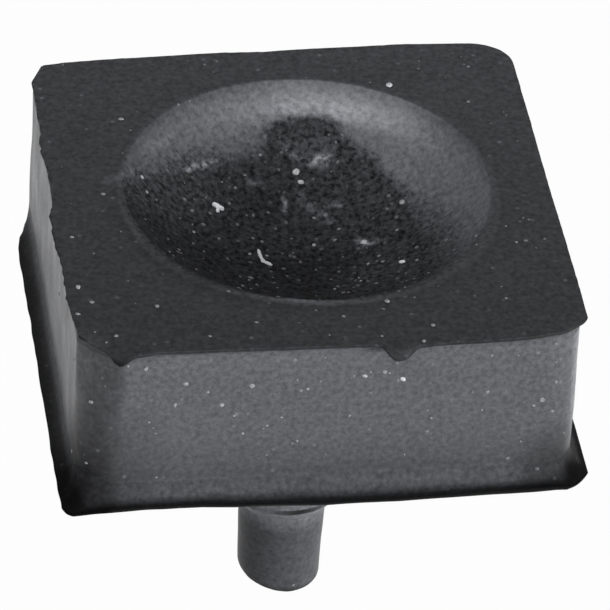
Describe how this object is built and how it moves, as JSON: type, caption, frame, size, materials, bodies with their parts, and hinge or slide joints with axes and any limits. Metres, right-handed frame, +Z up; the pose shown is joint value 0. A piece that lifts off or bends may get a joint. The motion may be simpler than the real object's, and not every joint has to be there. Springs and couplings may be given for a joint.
{
  "type": "stand rubber buffer",
  "caption": "Square moulded rubber buffer for a stand, with a round dish in its top, a thin lip round its base and a stepped stem that presses into a hole.",
  "frame": {"origin": "middle of the base's underside, where the stem's shank starts, on the stem's axis", "axes": "+Z up through the dish, away from the stem; -Y towards the edge with the two torn flash tabs; +X to the right seen from that edge"},
  "size_m": [0.0316, 0.032, 0.0289],
  "materials": {
    "black_rubber": "matt black moulded rubber, a little dusty, with torn flash on the top edge"
  },
  "bodies": {
    "root": {"rubber_buffer": "black_rubber"}
  },
  "joints": []
}
